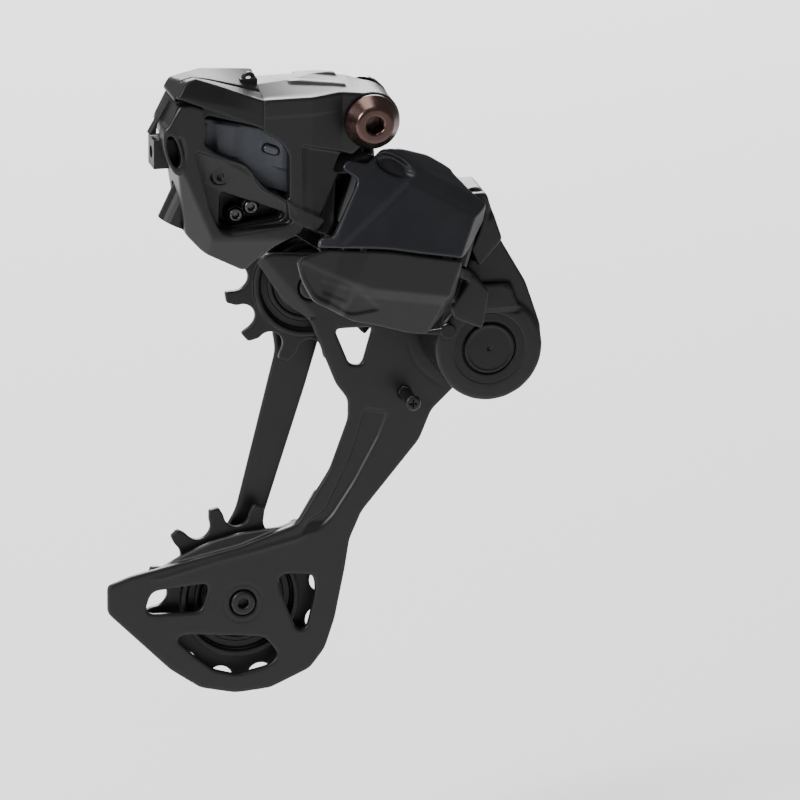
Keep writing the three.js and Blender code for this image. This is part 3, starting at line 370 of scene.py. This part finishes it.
def base_body():
    block = Block.round_node("base_body", margin=1)
    x, y, z = block.x, block.y, block.z
    body = softened(block.solid("base_body"), 2)

    front = np.interp(x, [-19, -9], [BASE_FRONT, -18.4])
    deck = np.maximum(np.maximum(-34.4 - x, x - 4.6), np.maximum(4 - z, z - deck_height(x, y)))
    body = join(body, keep(deck, np.maximum(front - y, y + 3), 0.8), 0.5)
    for crest_z, start, end in ((0.55, -24, -7), (-1.6, -30, -8)):
        ridge = np.hypot(z - deck_height(x, y) + 0.2, (y + 9 + 0.12 * (x + 15) + crest_z * 4) * 0.5)
        body = join(body, keep(ridge - 0.8, np.maximum(start - x, x - end), 0.4), 0.5)

    # The front wall stops at the top cover's seam, which is also the upper window's top edge.
    over = np.maximum(np.interp(x, [-52.9, -52.3, -35, -34.2], [9.2, 3.4, -1.4, 2.0]) - z, x + 34.3)
    over = np.minimum(over, np.maximum(np.interp(x, SEAM_X, SEAM_Z) - 0.25 - z, x + 34.3))
    body = cut(body, keep(over, y + 18.2, 0.3), 0.3)

    # A bevel runs down the rear edge, and the bottom leans back under the lower window.
    bevel = past_line((-51.2, -30.8), (-59.6, -10.6), x, z)
    body = keep(body, (BASE_FRONT + 1.1 * bevel - y) * 0.67, 0.5)
    chin = np.interp(x, [-54, -25], [-33.2, -34.6]) - z
    body = keep(body, (BASE_FRONT + 0.55 * chin - 1.2 * np.maximum(0, x + 25) - y) * 0.8, 0.5)
    corner = z - np.interp(x, [-66, -60, -50], [1.0, 9.0, 20.0])
    body = keep(body, (BASE_FRONT + 0.9 * corner - y) * 0.7, 0.8)

    # Below its crest the arm falls back to the lower window.
    hollow = outline(ARM_HOLLOW, x, z, 1.2)
    slope = BASE_FRONT + np.clip(0.8 + 0.32 * past_line(ARM_END, ARM_START, x, z), 0.8, 3.6)
    body = cut(body, keep(hollow, (y - slope) * 0.95, 0.5), 0.35)
    boss = round_hole(x, z, BOSS, 2.6)
    body = join(body, slab(boss, y, BASE_FRONT + 1.9, -12, 0.8), 0.8)
    body = cut(body, slab(round_hole(x, z, BOSS, 1.0), y, -30, BASE_FRONT + 2.7, 0.3), 0.3)

    # The lower window's rim is bevelled, and the oval opening has a raised rim.
    rim = outline(LOWER_WINDOW, x, z, 1.4)
    body = cut(body, slab(rim - 1.3 * np.clip(BASE_FRONT + 2.2 - y, 0, 2.2) / 2.2, y, -40, -17.2, 0.3), 0.4)
    posts = np.float32(1e3)
    for screw in ("inboard_limit_screw", "outboard_limit_screw"):
        low, high = node_box(screw)
        posts = np.minimum(posts, round_hole(x, z, ((low.x + high.x) / 2, (low.z + high.z) / 2), 2.7))
    pit = np.maximum(rim + 0.4, -posts)
    body = cut(body, slab(pit, y, -40, -11.5, 0.3), 0.3)
    oval = (np.hypot((x + 62.0 + 0.22 * (z + 4.8)) / 2.0, (z + 4.8) / 5.6) - 1) * 2.0
    filled = np.hypot((x + 60.4) / 3.2, (z + 5.6) / 6.4) * 3.2 - 3.2
    body = join(body, slab(filled, y, BASE_FRONT + 0.7, -16, 0.5), 0.3)
    body = join(body, slab(abs(oval) - 0.75, y, BASE_FRONT + 0.2, -15, 0.5), 0.5)
    body = cut(body, slab(oval + 0.2, y, -40, -12, 0.3), 0.3)

    # The arm runs on past the window, as far as the link's swing allows.
    arm = outline([(-27.2, -22.4), (-14.6, -29.3), (-15.6, -33.0), (-20.5, -31.6), (-26.4, -28.4)], x, z, 0.8)
    u, w, v = along_link(x, y, z)
    reach = np.hypot(u, w)
    body = join(body, keep(slab(arm, y, BASE_FRONT, -17, 0.6), 9.9 - reach, 0.4), 0.5)
    swing = np.maximum(abs(reach - 9.6) - 4.4, np.maximum(abs(v - 17.4) - 3.4, -2 - w))
    body = cut(body, swing, 0.3)

    # A web in front of the inner link closes the gap beside the outer pin.
    web = outline([(-13, -19), (-5.5, -19), (-5.5, -31), (-13, -31)], x, z, 1)
    body = join(body, slab(web, y, -6.2, -4.4, 0.4), 0.4)

    # A shallow panel in front of the hanger bolt, and a crease beside it.
    panel = outline([(-22.2, -5.2), (-8, -9.5), (-1, -12), (-1, -33), (-12, -30), (-22.2, -25.6)], x, z, 1.0)
    depth = 0.15 + 0.055 * np.maximum(0, z + 29)
    body = cut(body, keep(panel, y - front - depth, 1.2), 0.3)

    # Room for what turns or swings beside the base: the hanger bolt, its snap ring and the upper cover's edge.
    ring_low, ring_high = node_box("axle_snap_ring")
    hanger = ((ring_low.x + ring_high.x) / 2, (ring_low.z + ring_high.z) / 2)
    body = cut(body, slab(round_hole(x, z, hanger, BORE_RADIUS), y, -40, 0, 0.1), 0.1)
    ring_room = round_hole(x, z, hanger, (ring_high.x - ring_low.x) / 2 + RING_ROOM)
    body = cut(body, slab(ring_room, y, ring_low.y - 0.3, 0, 0.1), 0.1)
    away = [a - b for a, b in zip((x, y, z), COVER_EDGE)]
    cover_edge = np.sqrt(away[0] ** 2 + away[1] ** 2 + away[2] ** 2) - COVER_EDGE_ROOM
    body = cut(body, cover_edge, 0.2)
    block.piece("base_casting", body, BASE_BODY, "black_anodised", ["base_body"])


def base_top_cover():
    low, high = node_box("base_top_cover")
    block = Block(low - Vector((2.5, 0, 4)), high + Vector((1, 0, 1)))
    x, y, z = block.x, block.y, block.z
    behind = np.interp(x, [-62, -59.6, -51.6, -35.2, -34], [9.0, 11.0, 8.1, 3.3, 2.4])
    seam = np.where(y < -18.5, np.interp(x, SEAM_X, SEAM_Z), behind)
    flat = np.maximum(-61.2 - x + np.maximum(0, z - 11) * 0.6, seam - z)
    cover = keep(flat, z - deck_height(x, y), 0.9)
    cover = keep(cover, np.maximum(BASE_FRONT - 0.04 - y, y + 3), 0.8)
    cover = keep(cover, x + 33.9, 0.1)
    leaning = np.maximum(0, z - np.interp(x, [-60, -35], [12.5, 5.5]))
    lean = np.interp(x, [-46, -34], [0.28, 0]) * leaning + BASE_FRONT
    cover = keep(cover, lean - y, 0.7)
    groove = np.hypot(z - deck_height(x, y), y + 15.5) - 0.6
    cover = cut(cover, groove, 0.4)
    block.piece("base_top_shell", cover, BASE_BODY, "black_plastic", ["base_top_cover"])


def cable_hook():
    """A small hook on top of the base that holds the wire."""
    block = Block((-41, -14, 11), (-32, -7, 19), FINE_VOXEL * 1.3)
    x, y, z = block.x, block.y, block.z
    foot = np.maximum(np.maximum(abs(x + 36.6) - 2.7, abs(y + 10.6) - 1.3), np.maximum(12 - z, z - 13.9))
    loop = outline([(-38.9, 13), (-38.3, 14.8), (-36.6, 15.9), (-34.7, 15.2), (-34.2, 13), (-35.2, 13),
                    (-35.7, 14.3), (-36.6, 14.7), (-37.5, 14.2), (-37.8, 13)], x, z, 0.6)
    hook = join(keep(foot, z - 13.9, 0.5), slab(loop, y, -11.5, -9.7, 0.4), 0.4)
    block.piece("cable_hook", hook, BASE_BODY, "black_plastic")


def motor_housing():
    block = Block.round_node("motor_housing", 0.2 * COARSE, 1)
    x, y, z = block.x, block.y, block.z
    body = block.solid("motor_housing")
    valley = -36.4 + 0.1 * (z + 6)
    face = np.where(x < valley, 0.3 * (valley - x), 0.22 * (x - valley))
    front = -15.9 - np.minimum(face, 2.0) + 0.5 * np.maximum(0, -47.6 - x)
    front = front + 0.75 * np.clip(-12.6 - 0.3 * (x + 30) - z, 0, 2.0) + 0.12 * np.maximum(0, -12.6 - z)
    raised = keep(outline([(-54, 3.6), (-35.5, -0.3), (-25, -3.8), (-23.6, -21.6), (-33, -18.6), (-37.6, -13.4),
                           (-49.6, -8.6), (-56, -5.6)], x, z, 1.5), np.maximum(front - y, y + 14.9), 0.5)
    well = outline(capsule(0.2), x, z)
    body = cut(join(body, raised, 0.4), slab(well, y, -30, -14.6, 0.2), 0.3)
    block.piece("motor_casting", softened(body, 1), BASE_BODY, "grey_casting", ["motor_housing"])


def capsule(grow=0.0):
    """The outline of the oblong button in the motor housing."""
    low, high = node_box("mode_button")
    middle = (low + high) / 2
    reach, radius, tilt = 1.2, 1.2 + grow, -0.35
    points = []
    for side in (1, -1):
        for i in range(9):
            angle = side * math.pi / 2 - i * math.pi / 8
            u = side * reach + radius * math.cos(angle)
            v = radius * math.sin(angle)
            points.append((middle.x + u * math.cos(tilt) - v * math.sin(tilt),
                           middle.z + u * math.sin(tilt) + v * math.cos(tilt)))
    return points


def mode_button():
    low, high = node_box("mode_button")
    block = Block(low - Vector((0.5, 1.4, 0.5)), high + Vector((0.5, 0.5, 0.5)), FINE_VOXEL)
    shape = slab(outline(capsule(), block.x, block.z), block.y, low.y - 0.35, high.y, 0.5)
    block.piece("mode_button_cap", shape, "mode_button", "lens", ["mode_button"])


base_body()
base_top_cover()
cable_hook()
motor_housing()
mode_button()


# ---- Bolts and screws ----


def bolt(node, name, body, slot, profile, socket=0.0, socket_depth=0.0, cross=0.0, voxel=FINE_VOXEL):
    """A turned bolt in place of a CAD node. The profile is (radius, y) pairs, with y from the node's front."""
    low, high = node_box(node)
    middle = (low + high) / 2
    block = Block(low, high, voxel)
    x, y, z = block.x - middle.x, block.y - low.y, block.z - middle.z
    outer = profile + [(0, profile[-1][1]), (0, profile[0][1])]
    shape = outline([(r if r else -0.5, v) for r, v in outer], np.hypot(x, z), y)
    if socket:
        pit = keep(hexagon(x, z, socket), y - socket_depth, 0.1)
        funnel = np.hypot(x, z) - socket * 0.62 + y
        shape = cut(cut(shape, pit, 0.12), funnel, 0.12)
    if cross:
        arms = np.minimum(np.maximum(abs(x) - cross, abs(z) - 0.32), np.maximum(abs(z) - cross, abs(x) - 0.32))
        shape = cut(shape, np.maximum(arms + 0.35 * y, y - 1.5), 0.1)
    block.piece(name, softened(shape, 1), body, slot, [node])


bolt("hanger_bolt", "hanger_bolt_turned", "hanger_side", "copper_steel",
     [(4.7, 0.0), (5.5, 0.12), (5.9, 0.5), (8.1, 3.5), (8.5, 4.1), (8.5, 5.1), (5.6, 5.1), (5.6, 21.4),
      (5.3, 24.0), (4.4, 24.4), (4.9, 25.0), (4.9, 32.2), (4.0, 33.3)], 5.0, 6.0, voxel=0.17 * COARSE)
for side, pulley in (("guide", GUIDE), ("tension", TENSION)):
    bolt(f"{side}_pulley_bolt", f"{side}_bolt_turned", "cage", "black_anodised",
         [(3.1, 0.0), (3.6, 0.25), (3.8, 0.6), (3.8, 1.8), (2.4, 1.8), (2.4, 15.0), (2.2, 15.2)], 3.0, 2.6)
for name in ("inboard", "outboard"):
    bolt(f"{name}_limit_screw", f"{name}_limit_screw_turned", BASE_BODY, "steel",
         [(1.8, 0.0), (2.1, 0.3), (2.1, 2.0), (1.3, 2.0), (1.3, 9.8), (1.0, 10.0)], 1.9, 1.5)
bolt("cage_stop_pin", "cage_stop_pin_turned", "cage", "black_anodised",
     [(1.7, 0.0), (2.15, 0.2), (2.4, 0.6), (2.4, 1.5), (1.9, 1.9), (1.9, 11.7), (1.5, 11.7), (1.5, 14.3),
      (1.3, 14.5)], cross=1.4)


# ---- Outer link's covers ----
# Along the link is x, outboard is y, and down the pivot axis is z.

COVER_OUTLINE = [
    (-9, -6), (-8, -9.6), (-1.2, -10), (2.1, -16.1), (5.3, -17.4), (10.9, -18.6), (20, -19.6), (27, -18.4),
    (34.5, -13.8), (41.6, -10.9), (43, -5.9), (39.5, 5.8), (37.9, 7.6), (22.8, 10.8), (12.9, 12.7), (4, 15.2),
    (-6.2, 18.2), (-9.2, 19.0), (-9.6, 16.0), (-5.4, 14.6), (-2.4, -4.4),
]
LOWER_COVER_OUTLINE = [
    (38.7, 8.2), (22.8, 11.4), (12.9, 13.3), (-6.2, 18.7), (-14.5, 24.5), (-9.4, 29.9), (-2.6, 34.5),
    (14.5, 35.6), (22.9, 34.3), (35, 33.3), (41.1, 31.6), (43, 27.4), (41.4, 17.1),
]
PANEL_HEIGHT = 9.2
COVER_INNER = 5.2


def cover_front(u, v):
    """Height of the upper cover's outer face: a raised panel with faces that fall away from it."""
    left = past_line((12.6, -6.4), (1, 12.9), u, v)
    left = np.minimum(0.36 * np.clip(left, 0, 2.2) + 0.16 * np.maximum(0, left - 2.2), 2.1)
    above = -8.2 + 0.12 * (u - 17) - v
    above = 0.55 * np.clip(above, 0, 2.2) + 0.35 * np.maximum(0, above - 2.2) + 0.5 * np.maximum(0, above - 6.0)
    right = 0.75 * np.maximum(0, u - 37.4 + 0.05 * v)
    left = left + 0.12 * np.maximum(0, -4 - u)
    face = PANEL_HEIGHT - np.maximum(np.maximum(left, above), right)
    scoop = np.hypot((u - 7.6) / 7.0, (v + 12.9 - 0.08 * u) / 3.2)
    dip = np.clip((1.12 - scoop) / 0.5, 0, 1)
    return face - 2.2 * dip * dip * (3 - 2 * dip)


def upper_cover():
    block = Block((-15, -2, -22), (46, 11, 22), axes=LINK_AXES)
    u, w, v = block.x, block.y, block.z
    face = softened(cover_front(u, v), 1, (0, 2))
    near_pivot = (u < 8) | (u > 34)
    inner = np.where(near_pivot, np.minimum(COVER_INNER + 0.3, face - 0.9), np.maximum(face - 2.0, 0.5))
    inner = softened(np.broadcast_to(inner, np.broadcast(u, v).shape), 2, (0,))
    shell = keep(outline(COVER_OUTLINE, u, v, 1.6), np.maximum(w - face, inner - w) * 0.9, 0.7)
    rim = outline([(9, -18.0), (20, -19.2), (29, -17.8), (29, -15.4), (9, -15.4)], u, v, 0.8)
    shell = join(shell, keep(rim, np.maximum(-1 - w, w - face), 0.5), 0.5)
    block.piece("link_upper_cover", softened(shell, 1), "outer_link", "link_paint", ["outer_link_cover"])


def lower_cover():
    block = Block((-17, -10, 6), (46, 11, 38), axes=LINK_AXES)
    u, w, v = block.x, block.y, block.z
    below_seam = v + 0.24 * u - 17.1
    start = PANEL_HEIGHT - 0.1 - 0.2 * np.clip(7 - u, 0, 8)
    crease = np.interp(u, [-16, 4, 13, 34, 44], [23.6, 24.9, 25.2, 20.6, 18.5])
    below_crease = np.maximum(0, v - crease)
    far = np.interp(u, [2, 10], [0, 1])  # near the pivot the cover stays thin, to clear the base
    face = start - 0.3 * below_seam - (0.1 + 0.65 * far) * np.clip(below_crease, 0, 3)
    face = face - (0.06 + 0.29 * far) * np.maximum(0, below_crease - 3)
    face = face - 0.7 * np.maximum(0, u - 38.6 - 0.08 * (v - 20))
    flat = outline(LOWER_COVER_OUTLINE, u, v, 2.2)

    # The lower left is hollowed out inside a rim, with a deeper pocket in it.
    recess = outline([(-13.4, 24.4), (-10.4, 28.4), (-3.6, 33.0), (12, 34.4), (21, 29.6), (6.2, 25.6)], u, v, 2)
    pocket = outline([(-4.3, 27.6), (6.5, 27.0), (9.1, 31.4), (-1.3, 31.4)], u, v, 1)
    face = face - (0.5 + 0.3 * far) * np.clip(-recess / 0.6, 0, 1)
    face = face - (0.3 + 0.5 * far) * np.clip(-pocket / 0.8, 0, 1)
    face = softened(face, 1, (0, 2))
    back = np.maximum(face - 1.8, 5.9 - 0.36 * below_seam - 1.5 * far)
    shell = keep(flat, np.maximum(w - face, back - w) * 0.85, 0.5)

    # A tongue behind the seam closes it against the upper cover.
    tongue = outline([(7, 12.5), (12.9, 9.6), (22.8, 7.8), (33, 6), (33, 13), (12.9, 17.4), (7, 19)], u, v, 0.5)
    tongue = keep(tongue, np.maximum(w - 6.9, 5.3 - w), 0.3)
    shell = join(shell, tongue, 0.3)
    block.piece("link_lower_cover", softened(shell, 1), "outer_link", "black_plastic", ["outer_link_lower_cover"])


upper_cover()
lower_cover()


# ---- Knuckle ----

PAD = [(32.4, -60.3), (35.2, -58.7), (44.9, -58.9), (47.3, -60.3), (50, -67.4), (36.2, -67.6)]


def knuckle_body():
    block = Block.round_node("knuckle_body", margin=1)
    x, y, z = block.x, block.y, block.z
    solid = block.solid("knuckle_body")
    back = node_box("knuckle_body")[1].y
    front = CAGE_AXIS.y - 12
    radius = np.hypot(x - CAGE_AXIS.x, z - CAGE_AXIS.z)
    cup = keep(radius - 16.6, np.maximum(front - y, y - back), 1.0)
    cup = np.maximum(cup, 12.4 - radius)
    body = join(solid, np.maximum(cup, solid - 0.4), 0.3)
    pad = outline(PAD, x, z, 1)
    body = join(body, slab(pad, y, front - 0.9, front + 3, 0.8), 0.5)
    body = cut(body, slab(abs(pad - 0.9) - 0.35, y, front - 5, front + 0.5, 0.2), 0.2)
    bezel = slab(abs(radius - 12.4) - 1.5, y, front + 0.05 * (radius - 10.9), front + 3, 0.4)
    body = join(body, bezel, 0.4)
    block.piece("knuckle_casting", softened(body, 2), "knuckle", "black_anodised", ["knuckle_body"])


def knuckle_cap():
    front = CAGE_AXIS.y - 12.4
    block = Block.round_node("knuckle_cap", FINE_VOXEL * 1.3, 1)
    x, y, z = block.x - CAGE_AXIS.x, block.y - front, block.z - CAGE_AXIS.z
    radius = np.hypot(x, z)
    profile = [(-1, 0.25), (6.6, 0.25), (7.3, 0.0), (7.75, 0.2), (7.85, 1.3), (8.2, 1.3), (8.4, 0.5), (8.6, 0.42),
               (11.4, 0.42), (11.4, 3), (7.7, 3), (7.7, 4.6), (-1, 4.6)]
    cap = outline(profile, radius, y, 0.15)
    cap = cut(cap, np.hypot(radius, y - 0.1) - 0.75, 0.2)
    block.piece("knuckle_cap_moulding", softened(cap, 1), "knuckle", "black_plastic", ["knuckle_cap"])


def clutch_switch():
    block = Block.round_node("clutch_switch", FINE_VOXEL, 0.6)
    block.piece("clutch_lever", softened(block.solid("clutch_switch") + 0.4, 3), "clutch_switch", "black_plastic",
                ["clutch_switch"])


knuckle_body()
knuckle_cap()
clutch_switch()


# ---- Cage ----

CHAIN_PITCH = 12.7
CHANNEL = [
    (7.5, -104), (14.3, -105.6), (11.6, -112.8), (4, -126.9), (-2.8, -137.3), (-7.3, -141.6), (-12.6, -142.6),
    (-11.4, -139.4), (-5.1, -135.6), (2.5, -119.9),
]
LIP = [
    (-60, -154), (-56, -151), (-50, -148), (-39.2, -144), (-31, -142.2), (-18.7, -140.8), (-11.5, -138.6),
    (-9.6, -142.2), (-13.4, -144.5), (-27.1, -147.6), (-39.2, -149.9), (-57, -154.4),
]


def outer_plate():
    low, high = node_box("outer_cage_plate")
    block = Block(low, high + Vector((0, 2.5, 0)))
    x, y, z = block.x, block.y, block.z
    plate = softened(block.solid("outer_cage_plate"), 6, (0, 2))
    plate = keep(plate, PLATE_FRONT - y, 0.7)

    # The lower edge of the bay rolls inboard to guide the chain.
    flat = outline(LIP, x, z, 1.2)
    above = past_line((-57.4, -154.4), (-9.6, -143.2), x, z)
    roll = PLATE_FRONT + 0.75 * np.maximum(0, above) ** 1.2 * 0.6
    lip = keep(flat, np.maximum(roll - y, y - roll - 2.1) * 0.8, 0.6)
    plate = join(plate, keep(lip, y - 28.0, 0.4), 0.6)

    depth = np.clip((z + 143) * 0.25, 0.2, 1.0)
    channel = outline(CHANNEL, x, z, 1.6)
    plate = cut(plate, keep(channel, (y - PLATE_FRONT - depth), 0.5), 0.6)
    across = 3.4 + past_line((-11.2, -74.6), (-27.2, -54.8), x, z)
    chamfer = (PLATE_FRONT + 0.42 * np.clip(across, 0, 9) - y) * 0.9
    plate = np.where((z > -74) & (x < 6), keep(plate, chamfer, 0.3), plate)
    ring = abs(round_hole(x, z, (TENSION.x, TENSION.z), 6.0)) - 0.25
    plate = cut(plate, slab(ring, y, PLATE_FRONT - 2, PLATE_FRONT + 0.25, 0.2), 0.3)
    arc = abs(round_hole(x, z, (CAGE_AXIS.x, CAGE_AXIS.z), 20.4)) - 0.3
    arc = np.maximum(arc, np.maximum(z + 84.0, x - 31))
    plate = cut(plate, slab(arc, y, PLATE_FRONT - 2, PLATE_FRONT + 0.2, 0.2), 0.3)
    block.piece("cage_outer_plate", softened(plate, 1), "cage", "black_anodised", ["outer_cage_plate"])


def inner_plate():
    block = Block.round_node("inner_cage_plate")
    x, y, z = block.x, block.y, block.z
    plate = softened(block.solid("inner_cage_plate"), 8, (0, 2))
    groove = outline([(-13.5, -82), (-11, -100), (-22.5, -138), (-26, -136), (-18.5, -106)], x, z, 2)
    plate = cut(plate, slab(groove, y, INNER_PLATE_BACK - 0.6, 60, 0.5), 0.5)
    block.piece("cage_inner_plate", softened(plate, 1), "cage", "black_anodised", ["inner_cage_plate"])


def pulley(name, body, centre, teeth, ridge, lean, phase):
    """A chain pulley: roller seats on the pitch circle, a thick ring, and a hub round the bearing."""
    pitch_radius = CHAIN_PITCH / (2 * math.sin(math.pi / teeth))
    tip = pitch_radius + 3.1
    room = Vector((tip, 3.4, tip))
    block = Block(centre - room, centre + room, 0.24 * COARSE)
    x, y, z = block.x - centre.x, block.y - centre.y, block.z - centre.z
    radius, angle = np.hypot(x, z), np.arctan2(z, x)
    step = 2 * math.pi / teeth
    turn = (angle - phase + step / 2) % step - step / 2
    seat = np.hypot(radius * np.cos(turn) - pitch_radius, radius * np.sin(turn)) - 4.0
    rise = radius - pitch_radius
    opening = keep(abs(turn * radius + lean * rise) - 3.9 - 0.55 * rise, -rise, 0.5)
    wheel = cut(cut(radius - tip, seat, 0.5), opening, 0.6)
    wheel = slab(wheel, y, -1.1, 1.1, 0.5)
    wheel = join(wheel, slab(abs(radius - ridge + 0.8) - 0.8, abs(y), -9, 3.0, 0.5), 0.5)
    wheel = join(wheel, slab(radius - ridge + 1, abs(y), -9, 1.6, 0.3), 0.4)
    wheel = join(wheel, slab(radius - 7.4, abs(y), -9, 3.3, 0.6), 0.6)
    for groove, half_width in ((ridge - 3.4, 1.1), (ridge - 6.6, 0.5)):
        wheel = cut(wheel, slab(abs(radius - groove) - half_width, -abs(y), -9, -0.95, 0.3), 0.4)
    wheel = cut(wheel, radius - 3.6, 0.2)
    block.piece(name, wheel, body, "black_plastic", [body])


outer_plate()
inner_plate()
pulley("guide_pulley_moulding", "guide_pulley", GUIDE, 11, 17.0, 0.3, math.radians(10))
pulley("tension_pulley_moulding", "tension_pulley", TENSION, 13, 18.4, 0.0, math.radians(8))


# ---- CAD nodes that stay: they get their material and a fine bevel ----

BEVEL_WIDTH = 0.12

for node, piece in frame["nodes"].items():
    if piece.hide_render:
        continue
    slot = SLOTS[node]
    piece.data.materials.clear()
    piece.data.materials.append(MATERIALS[slot])
    bevel = piece.modifiers.new("edge", "BEVEL")
    bevel.width = BEVEL_WIDTH * MM
    bevel.segments = 2
    bevel.limit_method = "ANGLE"
    bevel.angle_limit = math.radians(40)


# ---- Stage: floor, lights and camera, in metres ----

FLOOR_HALF, FLOOR_DROP = 3.0, 0.07
LIGHT_AIM = (0, 0, -0.09)
CAMERA_TARGET = (0.0131, 0.0, -0.0948)


def stage():
    mesh = bpy.data.meshes.new("floor")
    half, height = FLOOR_HALF, cad_box[0].z - FLOOR_DROP
    corners = [(-half, -half, height), (half, -half, height), (half, half, height), (-half, half, height)]
    mesh.from_pydata(corners, [], [(0, 1, 2, 3)])
    floor = bpy.data.objects.new("floor", mesh)
    bpy.context.scene.collection.objects.link(floor)
    paint = bpy.data.materials.new("floor_paint")
    paint.use_nodes = True
    shader = paint.node_tree.nodes["Principled BSDF"]
    shader.inputs["Base Color"].default_value = (0.93, 0.93, 0.93, 1)
    shader.inputs["Roughness"].default_value = 0.9
    mesh.materials.append(paint)
    world = bpy.data.worlds.new("studio")
    world.use_nodes = True
    sky = world.node_tree.nodes["Background"]
    sky.inputs["Color"].default_value = (0.96, 0.97, 1.0, 1)
    sky.inputs["Strength"].default_value = 0.3
    bpy.context.scene.world = world


def area_light(name, place, size, power):
    lamp = bpy.data.lights.new(name, "AREA")
    lamp.energy = power
    lamp.size = size
    light = bpy.data.objects.new(name, lamp)
    light.location = place
    aim = Vector(LIGHT_AIM) - Vector(place)
    light.rotation_euler = aim.to_track_quat("-Z", "Y").to_euler()
    bpy.context.scene.collection.objects.link(light)


def camera():
    """The camera looks from outboard, from a little above and behind."""
    azimuth, elevation, distance = math.radians(-13), math.radians(17), 7.0
    target = Vector(CAMERA_TARGET)
    back = Vector((
        math.sin(azimuth) * math.cos(elevation), -math.cos(azimuth) * math.cos(elevation), math.sin(elevation),
    ))
    lens = bpy.data.cameras.new("camera")
    lens.sensor_width = 36
    lens.lens = 1033
    lens.clip_start = 1
    lens.clip_end = 30
    eye = bpy.data.objects.new("camera", lens)
    eye.location = target + back * distance
    eye.rotation_euler = (-back).to_track_quat("-Z", "Y").to_euler()
    bpy.context.scene.collection.objects.link(eye)
    bpy.context.scene.camera = eye


stage()
area_light("key", (-1.3, -0.7, 0.75), 0.5, 38)
area_light("front", (0.1, -1.5, 1.2), 0.45, 2)
area_light("top", (-0.3, 0.1, 1.5), 0.9, 18)
area_light("back", (0.3, 1.9, 0.9), 1.2, 66)
camera()
